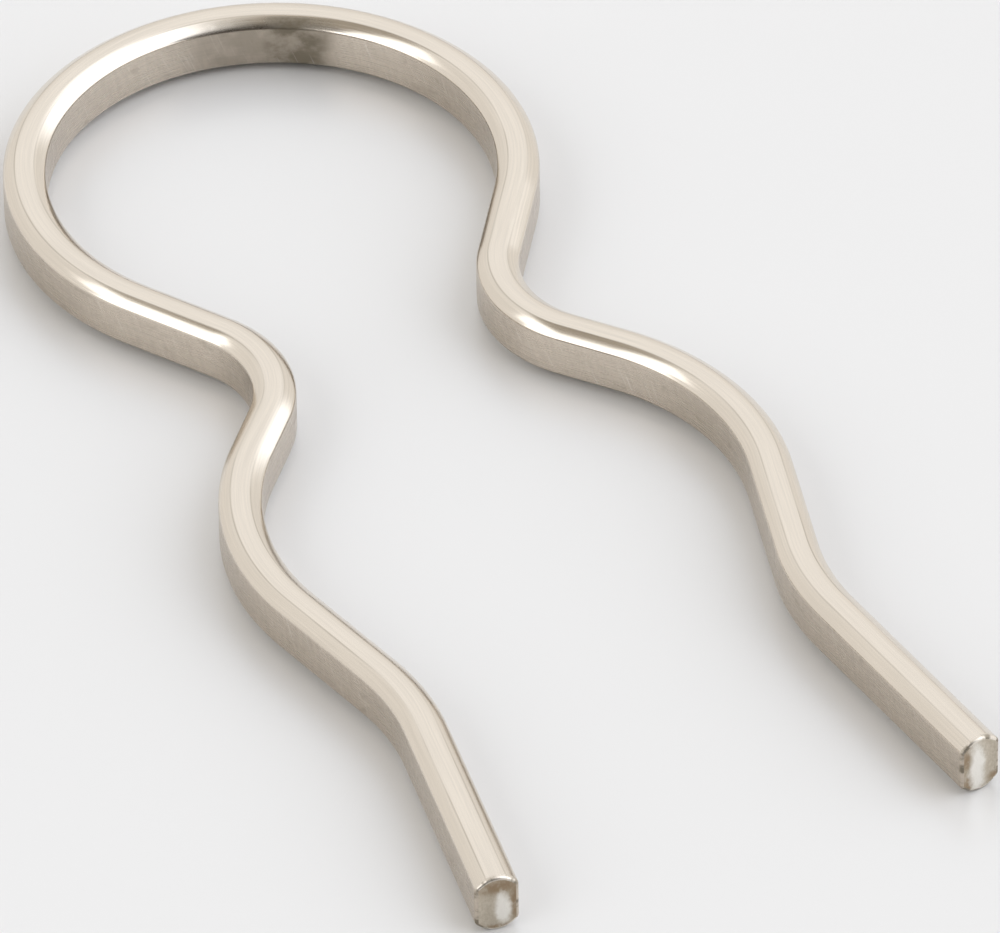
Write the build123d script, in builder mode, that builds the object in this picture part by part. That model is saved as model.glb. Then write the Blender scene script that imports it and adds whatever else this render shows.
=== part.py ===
"""Waved two-leg spring clip, bent from one length of rolled flat-sided wire.

Millimetres, +Z up. The clip lies in the XY plane and is mirrored about the YZ
plane, with the loop at +Y and the two cut ends at -Y. The origin is the centre
of the round pin seat, at mid height of the wire.
"""

import os

from build123d import *

# The wire is rolled to a section with eight sides. Its two upright walls become
# the clip's inner and outer sides. A sloping shoulder leads from each wall to a
# narrow top that is slightly crowned, and the underside is the same.
wire_width = 1.75
wire_height = 2.6
crown_width = 0.8
crown_rise = 0.07
shoulder_drop = 0.43
corner_radius = 0.2

# Bend radii run to the wire's middle line. Leans are the angles of the
# straights from the mirror plane, and runs are the lengths of the straights.
loop_radius = 10.0
neck_lean = 33.5
waist_radius = 4.7
flank_lean = 40.5
seat_radius = 10.55
seat_to_loop = 23.2
closing_lean = 14.0
closing_run = 5.2
knee_radius = 10.5
tip_flare = 8.0
left_tip_run = 9.8
right_tip_run = 10.2

# The shear leaves a small rolled-over edge round each cut end.
cut_edge_radius = 0.12

# The loop and the seat are arcs of circles centred on the mirror plane. A
# straight leaves each of them on its tangent, and the waist rounds the corner
# where the two straights cross. The line ends where the straight tips begin.
with BuildLine() as middle_line:
    loop = CenterArc((0, seat_to_loop), loop_radius, 90, 90 + neck_lean)
    seat = CenterArc((0, 0), seat_radius, 180 - flank_lean, flank_lean + closing_lean)
    waist_corner = Axis(loop @ 1, loop % 1) & Axis(seat @ 0, seat % 0)
    FilletPolyline(loop @ 1, waist_corner, seat @ 0, radius=waist_radius)
    closing = PolarLine(seat @ 1, closing_run, direction=seat % 1)
    JernArc(closing @ 1, closing % 1, knee_radius, -closing_lean - tip_flare)
    mirror(about=Plane.YZ)

wire_path = middle_line.wire()
wire_start = Plane(
    origin=wire_path @ 0,
    x_dir=Vector(0, 0, 1).cross(wire_path % 0),
    z_dir=wire_path % 0,
)

# The upper sides are drawn from wall to wall and mirrored to the underside. The
# corners beside the walls are rounded, and the edges of the crowns stay crisp.
# The tips run straight on from the bends, and differ only in their trimmed length.
with BuildPart() as spring_clip:
    with BuildSketch(wire_start) as wire_section:
        with BuildLine():
            half_width = wire_width / 2
            half_height = wire_height / 2
            wall_top = half_height - shoulder_drop
            crown_edge = half_height - crown_rise
            inner_wall = Line((half_width, -wall_top), (half_width, wall_top))
            inner_shoulder = Line(inner_wall @ 1, (crown_width / 2, crown_edge))
            crown = ThreePointArc(
                inner_shoulder @ 1, (0, half_height), (-crown_width / 2, crown_edge)
            )
            outer_shoulder = Line(crown @ 1, (-half_width, wall_top))
            Line(outer_shoulder @ 1, (-half_width, -wall_top))
            mirror([inner_shoulder, crown, outer_shoulder], about=Plane.XZ)
        make_face()
        corners = wire_section.vertices().group_by(Axis.X)
        fillet(corners[0] + corners[-1], radius=corner_radius)
    sweep(path=wire_path)
    tip_starts = spring_clip.faces().sort_by(Axis.Y)[:2].sort_by(Axis.X)
    extrude(tip_starts[0], amount=left_tip_run)
    extrude(tip_starts[1], amount=right_tip_run)
    for cut_end in spring_clip.faces().sort_by(Axis.Y)[:2]:
        fillet(cut_end.edges(), radius=cut_edge_radius)

spring_clip.part.label = "spring_clip"

os.makedirs("parts", exist_ok=True)
export_step(spring_clip.part, "parts/spring_clip.step")

developed_length = wire_path.length + left_tip_run + right_tip_run
print(f"Developed wire length: {developed_length:.1f} mm")
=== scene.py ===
"""A waved two-leg spring clip of plated, flat-sided wire, lying on a pale floor.

Metres, +Z up. The clip lies flat and is mirrored about the YZ plane, with its
loop at +Y and its two cut ends at -Y. The origin is the centre of the round
seat between its legs, at mid height of the wire.
"""

import math

import bpy
import numpy as np
from mathutils import Matrix, Vector


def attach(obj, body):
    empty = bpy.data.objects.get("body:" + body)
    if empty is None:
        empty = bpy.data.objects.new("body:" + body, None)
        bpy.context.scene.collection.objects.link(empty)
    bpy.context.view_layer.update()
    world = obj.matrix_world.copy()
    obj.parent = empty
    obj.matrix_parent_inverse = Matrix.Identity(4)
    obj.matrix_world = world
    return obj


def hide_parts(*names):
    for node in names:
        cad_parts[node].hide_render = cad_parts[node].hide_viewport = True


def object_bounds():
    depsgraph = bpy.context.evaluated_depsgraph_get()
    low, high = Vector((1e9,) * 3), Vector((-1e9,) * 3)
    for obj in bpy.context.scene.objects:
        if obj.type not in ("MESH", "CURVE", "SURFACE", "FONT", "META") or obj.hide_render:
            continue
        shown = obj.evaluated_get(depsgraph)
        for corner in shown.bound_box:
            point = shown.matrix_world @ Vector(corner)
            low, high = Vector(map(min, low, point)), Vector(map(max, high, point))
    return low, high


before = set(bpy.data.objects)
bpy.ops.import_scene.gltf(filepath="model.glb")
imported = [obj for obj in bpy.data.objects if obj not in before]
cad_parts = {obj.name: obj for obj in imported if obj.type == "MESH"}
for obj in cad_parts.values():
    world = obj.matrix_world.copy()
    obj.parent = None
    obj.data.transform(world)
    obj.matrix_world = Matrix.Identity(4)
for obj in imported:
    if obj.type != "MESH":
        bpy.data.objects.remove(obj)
cad_low, cad_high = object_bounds()
scene = bpy.context.scene
mm = 0.001

# The camera stands in front of the two cut ends and to their left, and looks
# down on the clip. Its lens is long, so that the near leg looks hardly larger
# than the far one.
camera_azimuth = -23.93
camera_elevation = 39.25
camera_roll = -0.75
camera_distance = 600 * mm
camera_aim = Vector((1.53, 4.19, -1.3)) * mm
camera_turn = (
    Matrix.Rotation(math.radians(camera_azimuth), 4, "Z")
    @ Matrix.Rotation(math.radians(90 - camera_elevation), 4, "X")
    @ Matrix.Rotation(math.radians(camera_roll), 4, "Z")
)
camera_lens = bpy.data.cameras.new("camera")
camera_lens.sensor_width = 36
camera_lens.lens = 543.5
camera_lens.clip_start = 0.01
camera_lens.clip_end = 20
camera = bpy.data.objects.new("camera", camera_lens)
camera.matrix_world = (
    Matrix.Translation(camera_aim) @ camera_turn @ Matrix.Translation((0, 0, camera_distance))
)
scene.collection.objects.link(camera)
scene.camera = camera


# The studio is a pale room, painted on the world by direction, and a little
# brighter behind the clip. A large soft panel stands to the right and two smaller
# ones to the left. The ceiling on the left and the side behind the camera are dark.
def add_node(tree, kind, inputs=None, **settings):
    """Adds a shader node, sets its options, and sets or links its inputs."""
    node = tree.nodes.new(kind)
    for name, value in settings.items():
        setattr(node, name, value)
    for place, value in (inputs or {}).items():
        if isinstance(value, bpy.types.NodeSocket):
            tree.links.new(value, node.inputs[place])
        else:
            node.inputs[place].default_value = value
    return node


def work_out(tree, operation, *values):
    """The result of a Math node on sockets or numbers."""
    return add_node(tree, "ShaderNodeMath", dict(enumerate(values)), operation=operation).outputs[0]


def fade(tree, value, start, end, low=0.0, high=1.0):
    """Goes smoothly from low to high as the value goes from start to end."""
    return add_node(
        tree,
        "ShaderNodeMapRange",
        {"Value": value, "From Min": start, "From Max": end, "To Min": low, "To Max": high},
        interpolation_type="SMOOTHSTEP",
    ).outputs["Result"]


def blend_colours(tree, share, first, second):
    """The first colour at a share of 0 and the second at 1."""
    return add_node(
        tree, "ShaderNodeMix", {"Factor": share, "A": first, "B": second}, data_type="RGBA"
    ).outputs["Result"]


def panel(tree, azimuth, elevation, half_width, half_height, softness):
    """A flat panel far off in the studio, 1 inside it and 0 outside.

    The direction is cut with the panel's plane: its parts along the panel's
    width and height are divided by its part towards the panel's middle, and
    each is compared with the tangent of half the panel's angular size. Angles
    are in degrees, and azimuth 0 is +Y and 90 is +X.
    """
    bearing = math.radians(azimuth)
    climb = math.radians(elevation)
    towards = (
        math.sin(bearing) * math.cos(climb),
        math.cos(bearing) * math.cos(climb),
        math.sin(climb),
    )
    across = (math.cos(bearing), -math.sin(bearing), 0)
    upward = (
        -math.sin(bearing) * math.sin(climb),
        -math.cos(bearing) * math.sin(climb),
        math.cos(climb),
    )
    direction = add_node(tree, "ShaderNodeTexCoord").outputs["Generated"]
    ahead, beside, above = (
        add_node(
            tree, "ShaderNodeVectorMath", {0: direction, 1: axis}, operation="DOT_PRODUCT"
        ).outputs["Value"]
        for axis in (towards, across, upward)
    )
    inside = work_out(tree, "GREATER_THAN", ahead, 0.0)
    for part, half_angle in ((beside, half_width), (above, half_height)):
        reach = math.tan(math.radians(half_angle))
        slope = work_out(tree, "ABSOLUTE", work_out(tree, "DIVIDE", part, ahead))
        covered = fade(tree, slope, reach * (1 + softness), reach * (1 - softness))
        inside = work_out(tree, "MULTIPLY", inside, covered)
    return inside


room = (0.91, 0.885, 0.85, 1)
bright_back = (1.07, 1.06, 1.05, 1)
dark_ceiling = (0.42, 0.38, 0.32, 1)
right_panel = (2.05, 2.1, 2.2, 1)
dark_side = (0.06, 0.05, 0.04, 1)
left_panel = (2.0, 2.0, 2.0, 1)
low_panel = (2.1, 2.1, 2.1, 1)

# Each panel's azimuth and elevation are followed by half its width, half its
# height and the softness of its edges. A later panel covers an earlier one.
panels = (
    (bright_back, (20, 50, 34, 28, 0.5)),
    (dark_ceiling, (-114, 71, 30, 15, 0.2)),
    (right_panel, (120, 43, 42.5, 30, 0.4)),
    (dark_side, (-150, 30, 45, 34, 0.2)),
    (left_panel, (-84, 49, 17, 8, 0.2)),
    (low_panel, (-104, 33, 22, 16, 0.15)),
)

world = bpy.data.worlds.new("studio")
world.use_nodes = True
scene.world = world
studio = world.node_tree
studio.nodes.clear()
surroundings = room
for colour, place in panels:
    surroundings = blend_colours(studio, panel(studio, *place), surroundings, colour)
background = add_node(studio, "ShaderNodeBackground", {"Color": surroundings, "Strength": 1.0})
add_node(studio, "ShaderNodeOutputWorld", {"Surface": background.outputs[0]})

# The floor is a smooth white sheet with a slight gloss, level with the
# underside of the wire.
floor_reach = 3.0
floor_white = (0.76, 0.76, 0.76, 1)
floor_roughness = 0.3
floor_ior = 2.0

floor_mesh = bpy.data.meshes.new("floor")
floor_mesh.from_pydata(
    [
        (x * floor_reach, y * floor_reach, cad_low.z)
        for x, y in ((-1, -1), (1, -1), (1, 1), (-1, 1))
    ],
    [],
    [(0, 1, 2, 3)],
)
floor = bpy.data.objects.new("floor", floor_mesh)
scene.collection.objects.link(floor)
floor_paint = bpy.data.materials.new("floor_paint")
floor_paint.use_nodes = True
floor_shader = floor_paint.node_tree.nodes["Principled BSDF"]
floor_shader.inputs["Base Color"].default_value = floor_white
floor_shader.inputs["Roughness"].default_value = floor_roughness
floor_shader.inputs["IOR"].default_value = floor_ior
floor_mesh.materials.append(floor_paint)

# The clip is one length of spring steel wire, rolled to eight sides, bent into
# a round loop with two waved legs, cut at both tips and plated with nickel. The
# legs mirror each other, and only the cut tips differ in length.
wire_width = 1.75 * mm
wire_height = 2.6 * mm
crown_width = 0.8 * mm
crown_rise = 0.07 * mm
shoulder_drop = 0.43 * mm
corner_radius = 0.2 * mm
crown_edge_radius = 0.4 * mm
shoulder_bow = math.radians(14)

loop_radius = 10.0 * mm
neck_lean = math.radians(33.5)
waist_radius = 4.7 * mm
flank_lean = math.radians(40.5)
seat_radius = 10.55 * mm
seat_to_loop = 23.2 * mm
closing_lean = math.radians(14.0)
closing_run = 5.2 * mm
knee_radius = 10.5 * mm
tip_flare = math.radians(8.0)
left_tip_run = 9.8 * mm
right_tip_run = 10.2 * mm

cut_edge_radius = 0.12 * mm
station_step = 0.15 * mm


def walk(stations, headings):
    """Points along a bent line, from the heading at each of its stations.

    A small step between two stations is an arc. Its chord lies along the mean
    of the two headings, and its length is the step times the sine of half the
    turn over half the turn. The chords are added up from the first station.
    """
    turn = np.diff(headings)
    chord = np.diff(stations) * np.sinc(turn / 2 / np.pi)
    middle = (headings[1:] + headings[:-1]) / 2
    steps = np.stack([chord * np.cos(middle), chord * np.sin(middle)], axis=1)
    return np.concatenate([np.zeros((1, 2)), np.cumsum(steps, axis=0)])


# The two straights of a leg's upper half leave the loop and the seat on their
# tangents, and their lengths follow from the point where they cross.
loop_end = np.array([0, seat_to_loop]) - loop_radius * np.array(
    [math.cos(neck_lean), math.sin(neck_lean)]
)
seat_start = seat_radius * np.array([-math.cos(flank_lean), math.sin(flank_lean)])
neck_way = np.array([math.sin(neck_lean), -math.cos(neck_lean)])
flank_way = np.array([-math.sin(flank_lean), -math.cos(flank_lean)])
setback = waist_radius * math.tan((neck_lean + flank_lean) / 2)
neck_run, flank_run = (
    np.linalg.solve(np.stack([neck_way, flank_way], axis=1), seat_start - loop_end) - setback
)

# A leg from the crest of the loop to its knee, as lengths and the turns made in
# them. The tip is straight on from there.
leg = np.array(
    [
        (loop_radius * (math.pi / 2 + neck_lean), math.pi / 2 + neck_lean),
        (neck_run, 0),
        (waist_radius * (neck_lean + flank_lean), -neck_lean - flank_lean),
        (flank_run, 0),
        (seat_radius * (flank_lean + closing_lean), flank_lean + closing_lean),
        (closing_run, 0),
        (knee_radius * (closing_lean + tip_flare), -closing_lean - tip_flare),
    ]
)
leg_joints, leg_turns = np.concatenate([np.zeros((1, 2)), np.cumsum(leg, axis=0)]).T
left_length = leg_joints[-1] + left_tip_run
right_length = leg_joints[-1] + right_tip_run

# Stations run from the right cut end over the crest, at 0, to the left one. A
# quarter circle of closer stations rolls each cut edge over.
edge_angles = np.radians(np.linspace(90, 15, 6))
edge_insets = cut_edge_radius * (1 - np.cos(edge_angles))
edge_setbacks = cut_edge_radius * (1 - np.sin(edge_angles))
right_stations = np.linspace(
    cut_edge_radius - right_length, 0, round(right_length / station_step)
)
left_stations = np.linspace(0, left_length - cut_edge_radius, round(left_length / station_step))
stations = np.concatenate(
    [
        edge_setbacks - right_length,
        right_stations,
        left_stations[1:],
        (left_length - edge_setbacks)[::-1],
    ]
)
insets = np.concatenate(
    [
        edge_insets,
        np.zeros(len(right_stations) + len(left_stations) - 1),
        edge_insets[::-1],
    ]
)
headings = np.pi + np.sign(stations) * np.interp(np.abs(stations), leg_joints, leg_turns)
line = walk(stations, headings)
crest = np.argmin(np.abs(stations))
line += np.array([0, seat_to_loop + loop_radius]) - line[crest]

# A quarter of the section, from the middle of the crown to the middle of the
# wall, is walked the same way. Its turns are all to the right, and the shoulder
# is slightly bowed.
crown_end_turn = 2 * math.atan2(crown_rise, crown_width / 2)
shoulder_way = np.array([(wire_width - crown_width) / 2, shoulder_drop - crown_rise])
shoulder_turn = math.atan2(shoulder_way[1], shoulder_way[0])
crown_radius = crown_width / 2 / math.sin(crown_end_turn)
edge_turn = shoulder_turn - shoulder_bow / 2 - crown_end_turn
corner_turn = math.pi / 2 - shoulder_turn - shoulder_bow / 2
edge_tangent = crown_edge_radius * math.tan(edge_turn / 2)
corner_tangent = corner_radius * math.tan(corner_turn / 2)
quarter = np.array(
    [
        (crown_radius * crown_end_turn - edge_tangent, crown_end_turn),
        (crown_edge_radius * edge_turn, edge_turn),
        (np.linalg.norm(shoulder_way) - edge_tangent - corner_tangent, shoulder_bow),
        (corner_radius * corner_turn, corner_turn),
        (wire_height / 2 - shoulder_drop - corner_tangent, 0),
    ]
)
quarter_points = np.array([5, 4, 5, 5, 2])
quarter_joints, quarter_turns = np.concatenate([np.zeros((1, 2)), np.cumsum(quarter, axis=0)]).T
quarter_lengths = np.interp(
    np.arange(quarter_points.sum() + 1),
    np.concatenate([[0], np.cumsum(quarter_points)]),
    quarter_joints,
)
quarter_tilts = np.interp(quarter_lengths, quarter_joints, quarter_turns)
quarter_line = walk(quarter_lengths, -quarter_tilts)
quarter_line[:, 1] -= quarter_line[-1, 1]
quarter_line *= np.array([wire_width, wire_height]) / 2 / [quarter_line[-1, 0], quarter_line[0, 1]]

# The ring goes round the section from the middle of the underside: outer wall,
# crown, inner wall and back. Each point has its place, its outward direction
# and its distance round.
mirrored = quarter_line[::-1]
ring_x = np.concatenate(
    [quarter_line[:-1, 0], mirrored[:-1, 0], -quarter_line[:-1, 0], -mirrored[:-1, 0]]
)
ring_z = np.concatenate(
    [-quarter_line[:-1, 1], mirrored[:-1, 1], quarter_line[:-1, 1], -mirrored[:-1, 1]]
)
tilt_back = quarter_tilts[::-1]
ring_turn = np.concatenate(
    [
        -np.pi / 2 + quarter_tilts[:-1],
        np.pi / 2 - tilt_back[:-1],
        np.pi / 2 + quarter_tilts[:-1],
        3 * np.pi / 2 - tilt_back[:-1],
    ]
)
ring_out_x = np.cos(ring_turn)
ring_out_z = np.sin(ring_turn)
points_round = len(ring_x)

# Each ring stands square to the wire's line. Its points lie off the line by the
# section's place, drawn in by the inset of a rolled edge.
away = np.stack([-np.sin(headings), np.cos(headings)], axis=1)
off_side = ring_x[None, :] - insets[:, None] * ring_out_x[None, :]
off_up = ring_z[None, :] - insets[:, None] * ring_out_z[None, :]
tube = np.empty((len(stations), points_round, 3))
tube[:, :, 0] = line[:, None, 0] - off_side * away[:, None, 0]
tube[:, :, 1] = line[:, None, 1] - off_side * away[:, None, 1]
tube[:, :, 2] = off_up

# A cut face is closed by shrinking its last ring to its middle. The shear left
# an upright ridge, off the middle, and the metal falls away on both its sides.
cut_shrinks = np.linspace(1, 0, 15)[1:-1]
ridge_half_width = 0.2 * mm
fall_width = 0.5 * mm
fall_depth = 0.04 * mm
right_ridge = -0.15 * mm
left_ridge = 0.2 * mm


def cut_face(last_ring, centre, outward, ridge_place):
    """Rings that shrink a cut end's last ring to a point at its middle.

    A point is pulled back from the flat cut by the fall depth times a smooth
    step of its distance from the ridge, and less towards the rolled edge.
    Returns the rings, and the distance of their points to the right of the
    middle and above it.
    """
    rings = centre + cut_shrinks[:, None, None] * (last_ring - centre)[None]
    rightward = np.array([-outward[1], outward[0], 0])
    right_of_middle = (rings - centre) @ rightward
    beyond = np.abs(right_of_middle - ridge_place) - ridge_half_width
    step = np.clip(beyond / fall_width, 0, 1)
    inner_share = 1 - cut_shrinks[:, None] ** 6
    fall = fall_depth * step**2 * (3 - 2 * step) * inner_share
    return rings - fall[:, :, None] * outward, right_of_middle, rings[:, :, 2]


right_middle = np.append(line[0], 0)
left_middle = np.append(line[-1], 0)
right_outward = np.array([-math.cos(headings[0]), -math.sin(headings[0]), 0])
left_outward = np.array([math.cos(headings[-1]), math.sin(headings[-1]), 0])
right_cut, right_across, right_up = cut_face(tube[0], right_middle, right_outward, right_ridge)
left_cut, left_across, left_up = cut_face(tube[-1], left_middle, left_outward, left_ridge)
rings = np.concatenate([right_cut[::-1], tube, left_cut])
ring_count = len(rings)
places = np.concatenate([rings.reshape(-1, 3), right_middle[None], left_middle[None]])

# Quads join each ring to the next, and triangles close the two middles.
row, column = np.meshgrid(np.arange(ring_count - 1), np.arange(points_round), indexing="ij")
following = (column + 1) % points_round
quads = np.stack(
    [
        row * points_round + column,
        (row + 1) * points_round + column,
        (row + 1) * points_round + following,
        row * points_round + following,
    ],
    axis=-1,
).reshape(-1, 4)
round_once = np.arange(points_round)
next_once = (round_once + 1) % points_round
last_row = (ring_count - 1) * points_round
right_fan = np.stack(
    [round_once, next_once, np.full(points_round, ring_count * points_round)], axis=1
)
left_fan = np.stack(
    [
        last_row + next_once,
        last_row + round_once,
        np.full(points_round, ring_count * points_round + 1),
    ],
    axis=1,
)

clip_mesh = bpy.data.meshes.new("bent_wire")
clip_mesh.from_pydata(places, [], [*quads.tolist(), *right_fan.tolist(), *left_fan.tolist()])
clip_mesh.polygons.foreach_set("use_smooth", np.ones(len(clip_mesh.polygons), dtype=bool))
clip = bpy.data.objects.new("bent_wire", clip_mesh)
scene.collection.objects.link(clip)

# The first material is the plated surface and the second the bare cut faces.
cut_rings = len(cut_shrinks)
quad_is_cut = (row < cut_rings) | (row >= ring_count - 1 - cut_rings)
material_of_face = np.concatenate(
    [quad_is_cut.reshape(-1), np.ones(2 * points_round, dtype=bool)]
).astype(np.int32)

# The UV map is in millimetres: along the wire from its right end, and round it
# from the middle of its underside. On a cut face it is the distance right of
# the face's middle and above it, with the left end's 20 mm to the right.
quarter_round = quarter_joints[-1]
around = np.concatenate(
    [
        quarter_lengths[:-1],
        2 * quarter_round - quarter_lengths[:0:-1],
        2 * quarter_round + quarter_lengths[:-1],
        4 * quarter_round - quarter_lengths[:0:-1],
        [4 * quarter_round],
    ]
)
along = stations + right_length
wire_u = np.repeat(along[:, None], points_round + 1, axis=1)
wire_v = np.repeat(around[None], len(along), axis=0)
left_apart = 20 * mm
rim_across = (tube[[0, -1]] - np.stack([right_middle, left_middle])[:, None]) @ np.array([1, 0, 0])


def close_round(grid):
    """Repeats a grid's first column after its last."""
    return np.concatenate([grid, grid[:, :1]], axis=1)


cut_u = [
    close_round(np.concatenate([right_across[::-1], rim_across[:1]])),
    close_round(np.concatenate([rim_across[1:], left_across]) + left_apart),
]
cut_v = [
    close_round(np.concatenate([right_up[::-1], tube[:1, :, 2]])),
    close_round(np.concatenate([tube[-1:, :, 2], left_up])),
]


def corners_of(grid):
    """The values at the four corners of each quad, in the quads' own order."""
    return np.stack([grid[:-1, :-1], grid[1:, :-1], grid[1:, 1:], grid[:-1, 1:]], axis=-1).reshape(-1)


def corners_of_fan(inner, middle):
    """The values at the corners of the triangles that close a cut's middle."""
    return np.stack([inner[:-1], inner[1:], np.full(points_round, middle)], axis=1).reshape(-1)


def left_fan_order(values):
    """Swaps the first two corners of each triangle, for the face that looks the other way."""
    return values.reshape(-1, 3)[:, [1, 0, 2]].reshape(-1)


uv = np.stack(
    [
        np.concatenate(
            [
                corners_of(cut_u[0]),
                corners_of(wire_u),
                corners_of(cut_u[1]),
                corners_of_fan(cut_u[0][0], 0.0),
                left_fan_order(corners_of_fan(cut_u[1][-1], left_apart)),
            ]
        ),
        np.concatenate(
            [
                corners_of(cut_v[0]),
                corners_of(wire_v),
                corners_of(cut_v[1]),
                corners_of_fan(cut_v[0][0], 0.0),
                left_fan_order(corners_of_fan(cut_v[1][-1], 0.0)),
            ]
        ),
    ],
    axis=1,
) / mm
clip_mesh.uv_layers.new(name="wire_mm").uv.foreach_set("vector", uv.astype(np.float32).reshape(-1))


def grain(tree, place, scale, detail, coarseness, turn=0.0):
    """Noise on the millimetre map, turned by some degrees and squeezed by two scales."""
    placed = add_node(
        tree,
        "ShaderNodeMapping",
        {
            "Vector": place,
            "Rotation": (0, 0, math.radians(turn)),
            "Scale": (1 / scale[0], 1 / scale[1], 1.0),
        },
        vector_type="TEXTURE",
    )
    return add_node(
        tree,
        "ShaderNodeTexNoise",
        {"Vector": placed.outputs[0], "Scale": 1.0, "Detail": detail, "Roughness": coarseness},
    ).outputs["Fac"]


def off_place(tree, value, place):
    """The distance of a value from a place, without its sign."""
    return work_out(tree, "ABSOLUTE", work_out(tree, "SUBTRACT", value, place))


# The plate is bright on the crown and the shoulders. The walls are darker, partly from a duller
# finish left by the rolls and partly as painted shade for the shadowed floor that they mirror. Fine
# lines run along the wire, a darker line runs along the crown's edges, and grime sits in patches on
# the walls and in the nicks beside the cuts.
plate_colour = (0.76, 0.70, 0.62, 1)
# The walls' darker colour is partly a duller rolled finish and partly painted shade for the shadowed
# floor they mirror.
wall_colour_with_painted_shade = (0.59, 0.52, 0.44, 1)
# This dark colour serves the grime and also the darker line along the crown's edges.
grime_and_edge_line_colour = (0.27, 0.235, 0.18, 1)
scratch_colour = (0.88, 0.84, 0.78, 1)
plate_roughness = 0.13
wall_roughness = 0.24
line_roughness = 0.07
grime_and_edge_line_roughness = 0.25
rim_roughness = 0.2
plate_bump = 0.25
plate_relief = 0.01 * mm
along_relief = 0.35
across_relief = 0.6

# These places on the map are in millimetres. The stain lies inside the loop's
# crest, and has a darker core and a lighter tail.
quarter_round_mm = quarter_round / mm
length_mm = (left_length + right_length) / mm
crown_edge_mm = (quarter_joints[1] + quarter_joints[2]) / 2 / mm
corner_mm = quarter_joints[3] / mm
wall_start_mm = quarter_joints[4] / mm
stain_core_mm = 58.3
stain_tail_mm = 60.6
core_reach_mm = 2.2
tail_reach_mm = 3.4
nick_reach_mm = 0.25
rim_reach_mm = 0.3

plate = bpy.data.materials.new("nickel_plate")
plate.use_nodes = True
tree = plate.node_tree
shader = tree.nodes["Principled BSDF"]
shader.inputs["Metallic"].default_value = 1.0
wire_map = add_node(tree, "ShaderNodeUVMap", uv_map="wire_mm").outputs["UV"]
map_parts = add_node(tree, "ShaderNodeSeparateXYZ", {0: wire_map})
from_crown = work_out(tree, "PINGPONG", map_parts.outputs["Y"], quarter_round_mm)
from_cut = work_out(tree, "PINGPONG", map_parts.outputs["X"], length_mm / 2)
wall = fade(tree, from_crown, corner_mm, wall_start_mm)

# The numbers of a fade on noise are the levels between which it changes, and the
# strengths that it changes from and to.
lines_along = grain(tree, wire_map, (0.25, 14.0), 4.0, 0.6)
lines_across = grain(tree, wire_map, (5.0, 0.8), 3.0, 0.6, turn=14)
mottle = grain(tree, wire_map, (0.8, 1.4), 4.0, 0.6)
cloud = grain(tree, wire_map, (0.16, 0.5), 2.0, 0.5)

# A darker line is painted along both edges of the crown.
edge_line = fade(tree, off_place(tree, from_crown, crown_edge_mm), 0.05, 0.01)
crown_edge_darkening = work_out(tree, "MULTIPLY", edge_line, fade(tree, cloud, 0.35, 0.65, 0.08, 0.4))
wall_patch = work_out(tree, "MULTIPLY", wall, fade(tree, mottle, 0.56, 0.74, 0.0, 0.35))
nick_grime = work_out(
    tree,
    "MULTIPLY",
    fade(tree, from_cut, nick_reach_mm, 0.05),
    fade(tree, mottle, 0.45, 0.58, 0.0, 0.9),
)
inner_side = fade(tree, map_parts.outputs["Y"], 2.2 * quarter_round_mm, 2.3 * quarter_round_mm)
off_core = off_place(tree, map_parts.outputs["X"], stain_core_mm)
off_tail = off_place(tree, map_parts.outputs["X"], stain_tail_mm)
stain_core = fade(tree, off_core, core_reach_mm, 0.8, 0.0, 1.0)
stain_tail = fade(tree, off_tail, tail_reach_mm, 0.8, 0.0, 0.45)
crest_stain = work_out(
    tree,
    "MULTIPLY",
    work_out(tree, "MULTIPLY", work_out(tree, "MAXIMUM", stain_core, stain_tail), inner_side),
    fade(tree, grain(tree, wire_map, (0.7, 1.0), 4.0, 0.6), 0.35, 0.6, 0.45, 1.0),
)

# Fine pale scratches slant across the walls.
scratches = grain(tree, wire_map, (9.0, 0.42), 2.0, 0.4, turn=24)
scratch = work_out(tree, "MULTIPLY", fade(tree, scratches, 0.62, 0.76, 0.0, 0.3), wall)

grime_and_edge_line = work_out(
    tree,
    "MAXIMUM",
    work_out(tree, "MAXIMUM", crown_edge_darkening, wall_patch),
    work_out(tree, "MAXIMUM", nick_grime, crest_stain),
)

# The walls' colour is blended in here. It carries painted shade as well as their duller finish.
plate_with_shaded_walls = blend_colours(tree, wall, plate_colour, wall_colour_with_painted_shade)
shade = work_out(
    tree,
    "ADD",
    fade(tree, lines_along, 0.3, 0.7, 0.95, 1.03),
    work_out(tree, "MULTIPLY", wall, fade(tree, lines_across, 0.3, 0.7, -0.04, 0.04)),
)
lined = add_node(
    tree, "ShaderNodeVectorMath", {0: plate_with_shaded_walls, "Scale": shade}, operation="SCALE"
).outputs["Vector"]
soiled = blend_colours(tree, grime_and_edge_line, lined, grime_and_edge_line_colour)
plate_base_colour = blend_colours(tree, scratch, soiled, scratch_colour)
tree.links.new(plate_base_colour, shader.inputs["Base Color"])

polish = fade(tree, wall, 0.0, 1.0, plate_roughness, wall_roughness)
cut_rim = fade(tree, from_cut, rim_reach_mm, 0.1, 0.0, rim_roughness)
streaks = fade(tree, lines_along, 0.3, 0.7, 0.0, line_roughness)
rough = work_out(
    tree,
    "ADD",
    work_out(tree, "ADD", polish, cut_rim),
    work_out(tree, "MULTIPLY_ADD", grime_and_edge_line, grime_and_edge_line_roughness, streaks),
)
tree.links.new(rough, shader.inputs["Roughness"])
relief = work_out(
    tree,
    "ADD",
    work_out(tree, "MULTIPLY", lines_along, along_relief),
    work_out(tree, "MULTIPLY", work_out(tree, "MULTIPLY", lines_across, wall), across_relief),
)
bump = add_node(
    tree, "ShaderNodeBump", {"Strength": plate_bump, "Distance": plate_relief, "Height": relief}
)
tree.links.new(bump.outputs[0], shader.inputs["Normal"])

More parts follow.
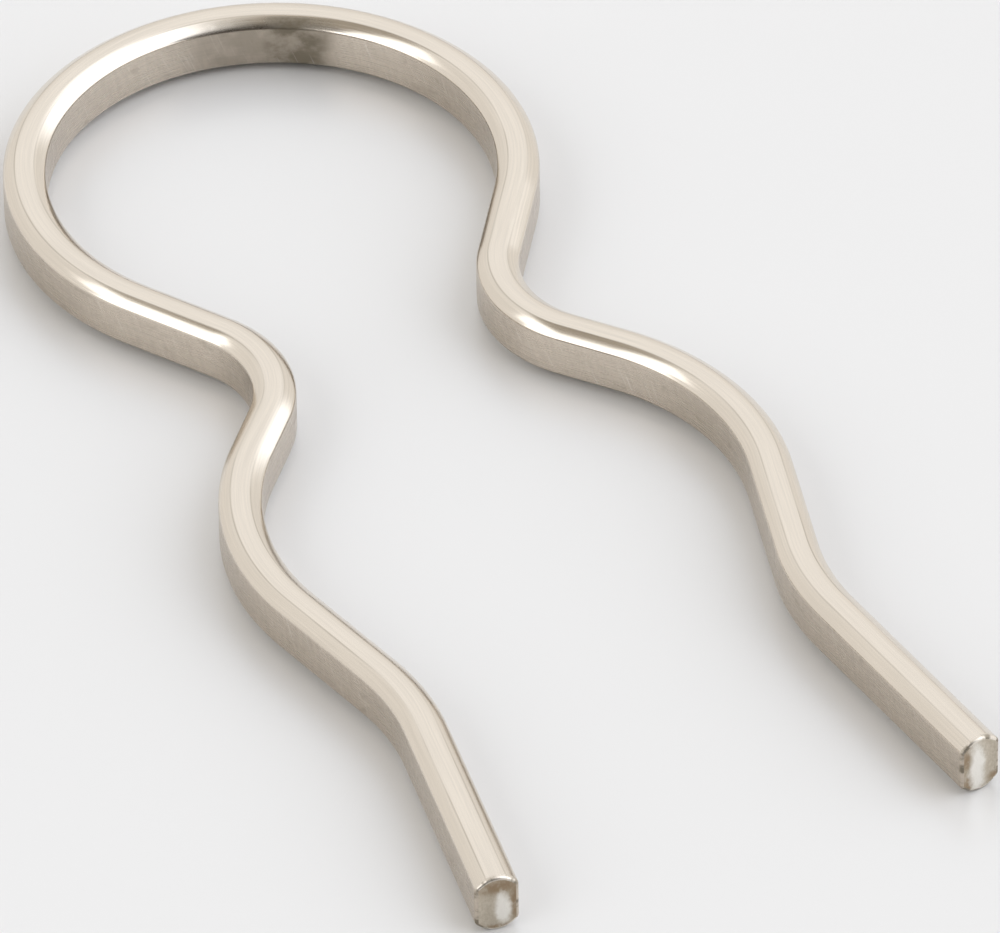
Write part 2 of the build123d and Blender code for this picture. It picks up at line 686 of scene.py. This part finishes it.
# The bare steel of a cut is pale where the blade rubbed it, and brown and pitted
# where the metal tore. The left end's patches are 20 mm to the right.
bare_steel = (0.60, 0.54, 0.45, 1)
pitted_steel = (0.50, 0.44, 0.35, 1)
rubbed_steel = (0.88, 0.85, 0.79, 1)
torn_steel = (0.33, 0.245, 0.16, 1)
cut_roughness = 0.34
pit_roughness = 0.2
cut_bump = 0.5
pit_depth = 0.04 * mm
edge_wander = 1.6
patch_whole = 1.3
patch_gone = 2.25

cut_steel = bpy.data.materials.new("cut_steel")
cut_steel.use_nodes = True
tree = cut_steel.node_tree
shader = tree.nodes["Principled BSDF"]
shader.inputs["Metallic"].default_value = 1.0
cut_map = add_node(tree, "ShaderNodeUVMap", uv_map="wire_mm").outputs["UV"]
tearing = grain(tree, cut_map, (2.2, 1.6), 4.0, 0.6)
pits = grain(tree, cut_map, (7.0, 5.0), 4.0, 0.7)


def patches(tree, places):
    """Soft oval patches on the cut faces, 1 inside them and 0 outside.

    The distance from a patch's middle is taken in units of its half width and
    half height, and tearing noise makes its edge wander.
    """
    covered = 0.0
    for middle_across, middle_up, half_width, half_height in places:
        centred = add_node(
            tree,
            "ShaderNodeVectorMath",
            {0: cut_map, 1: (middle_across, middle_up, 0)},
            operation="SUBTRACT",
        ).outputs["Vector"]
        scaled = add_node(
            tree,
            "ShaderNodeVectorMath",
            {0: centred, 1: (half_width, half_height, 1)},
            operation="DIVIDE",
        ).outputs["Vector"]
        distance = add_node(
            tree, "ShaderNodeVectorMath", {0: scaled}, operation="LENGTH"
        ).outputs["Value"]
        edge = work_out(tree, "MULTIPLY_ADD", tearing, edge_wander, distance)
        covered = work_out(tree, "MAXIMUM", covered, fade(tree, edge, patch_gone, patch_whole))
    return covered


# A patch is its middle, to the right and upwards, and half its width and height.
rubbed = patches(tree, ((-0.13, -0.15, 0.34, 1.2), (20.22, -0.3, 0.34, 0.7)))
torn = patches(
    tree,
    (
        (-0.72, 0.45, 0.32, 0.75),
        (-0.55, -0.8, 0.3, 0.4),
        (0.65, -0.95, 0.3, 0.35),
        (20.1, 0.85, 1.0, 0.42),
        (20.75, 0.0, 0.34, 1.1),
        (20.0, -1.2, 0.8, 0.22),
    ),
)
torn_share = work_out(tree, "MULTIPLY", torn, fade(tree, tearing, 0.35, 0.6, 0.35, 1.0))
pitted = blend_colours(tree, fade(tree, pits, 0.3, 0.7), bare_steel, pitted_steel)
with_tears = blend_colours(tree, torn_share, pitted, torn_steel)
with_rubs = blend_colours(tree, rubbed, with_tears, rubbed_steel)
tree.links.new(with_rubs, shader.inputs["Base Color"])
rough = work_out(tree, "MULTIPLY_ADD", pits, pit_roughness, cut_roughness)
tree.links.new(rough, shader.inputs["Roughness"])
bump = add_node(tree, "ShaderNodeBump", {"Strength": cut_bump, "Distance": pit_depth, "Height": pits})
tree.links.new(bump.outputs[0], shader.inputs["Normal"])

clip_mesh.materials.append(plate)
clip_mesh.materials.append(cut_steel)
clip_mesh.polygons.foreach_set("material_index", material_of_face)
clip_mesh.update()

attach(clip, "root")
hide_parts("spring_clip")

scene.view_settings.view_transform = "Standard"
